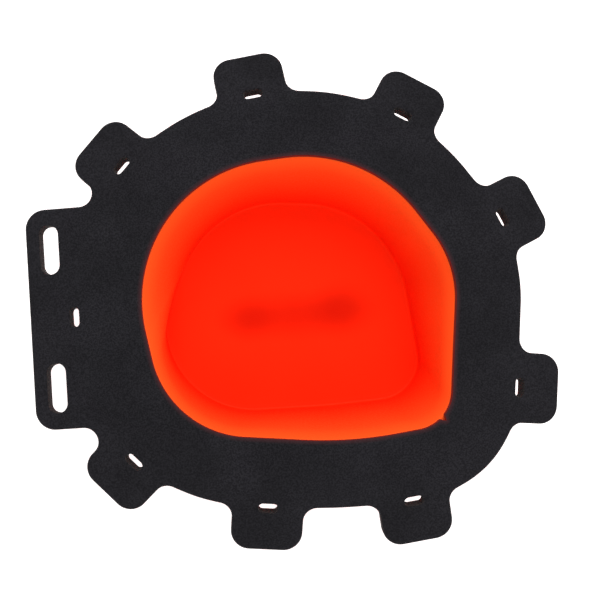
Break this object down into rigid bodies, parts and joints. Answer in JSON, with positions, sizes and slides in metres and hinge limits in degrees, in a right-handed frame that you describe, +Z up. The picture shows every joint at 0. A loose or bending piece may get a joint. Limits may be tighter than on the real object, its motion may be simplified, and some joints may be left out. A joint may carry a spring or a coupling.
{
  "type": "cupped foam ring",
  "caption": "Flat foam ring with rounded lacing tabs and a wide slotted strap tab, round a deep moulded cup whose D-shaped mouth fills the ring.",
  "frame": {"origin": "on the underside of the cup, below the middle of the collar's opening", "axes": "+Z up through the cup's mouth; -X towards the strap tab, whose strap slots lie in a line along Y"},
  "size_m": [0.2952, 0.2843, 0.082],
  "materials": {
    "foam": "matte",
    "cup": "satin",
    "adhesive": "satin"
  },
  "bodies": {
    "collar": {"collar_ring": "foam", "cup": "cup", "bond_ring": "adhesive"},
    "lacing_tab_1": {"lacing_tab_1": "foam"},
    "lacing_tab_2": {"lacing_tab_2": "foam"},
    "lacing_tab_3": {"lacing_tab_3": "foam"},
    "lacing_tab_4": {"lacing_tab_4": "foam"},
    "lacing_tab_5": {"lacing_tab_5": "foam"},
    "lacing_tab_6": {"lacing_tab_6": "foam"},
    "lacing_tab_7": {"lacing_tab_7": "foam"},
    "lacing_tab_8": {"lacing_tab_8": "foam"},
    "strap_tab": {"strap_tab": "foam"}
  },
  "joints": [
    {"name": "lacing_tab_1_fold", "type": "hinge", "parent": "collar", "child": "lacing_tab_1", "pos_m": [-0.09757, 0.08332, 0.078], "axis": [0.682, 0.7314, 0], "range_deg": [-33, 57], "stiffness_Nm_per_rad": 0.15},
    {"name": "lacing_tab_2_fold", "type": "hinge", "parent": "collar", "child": "lacing_tab_2", "pos_m": [-0.01911, 0.12117, 0.078], "axis": [0.9903, 0.1392, 0], "range_deg": [-33, 57], "stiffness_Nm_per_rad": 0.15},
    {"name": "lacing_tab_3_fold", "type": "hinge", "parent": "collar", "child": "lacing_tab_3", "pos_m": [0.06788, 0.10403, 0.078], "axis": [0.8554, -0.518, 0], "range_deg": [-33, 57], "stiffness_Nm_per_rad": 0.15},
    {"name": "lacing_tab_4_fold", "type": "hinge", "parent": "collar", "child": "lacing_tab_4", "pos_m": [0.12209, 0.0397, 0.078], "axis": [0.4035, -0.915, 0], "range_deg": [-33, 57], "stiffness_Nm_per_rad": 0.15},
    {"name": "lacing_tab_5_fold", "type": "hinge", "parent": "collar", "child": "lacing_tab_5", "pos_m": [0.12428, -0.05921, 0.078], "axis": [-0.1219, -0.9925, 0], "range_deg": [-33, 57], "stiffness_Nm_per_rad": 0.15},
    {"name": "lacing_tab_6_fold", "type": "hinge", "parent": "collar", "child": "lacing_tab_6", "pos_m": [0.0562, -0.1214, 0.078], "axis": [-0.9945, -0.1045, 0], "range_deg": [-33, 57], "stiffness_Nm_per_rad": 0.15},
    {"name": "lacing_tab_7_fold", "type": "hinge", "parent": "collar", "child": "lacing_tab_7", "pos_m": [-0.02618, -0.11919, 0.078], "axis": [-0.9925, 0.1219, 0], "range_deg": [-33, 57], "stiffness_Nm_per_rad": 0.15},
    {"name": "lacing_tab_8_fold", "type": "hinge", "parent": "collar", "child": "lacing_tab_8", "pos_m": [-0.10074, -0.08714, 0.078], "axis": [-0.6756, 0.7373, 0], "range_deg": [-33, 57], "stiffness_Nm_per_rad": 0.15},
    {"name": "strap_tab_fold", "type": "hinge", "parent": "collar", "child": "strap_tab", "pos_m": [-0.1296, -0.0025, 0.078], "axis": [0, 1, 0], "range_deg": [-30, 30], "stiffness_Nm_per_rad": 0.5}
  ]
}
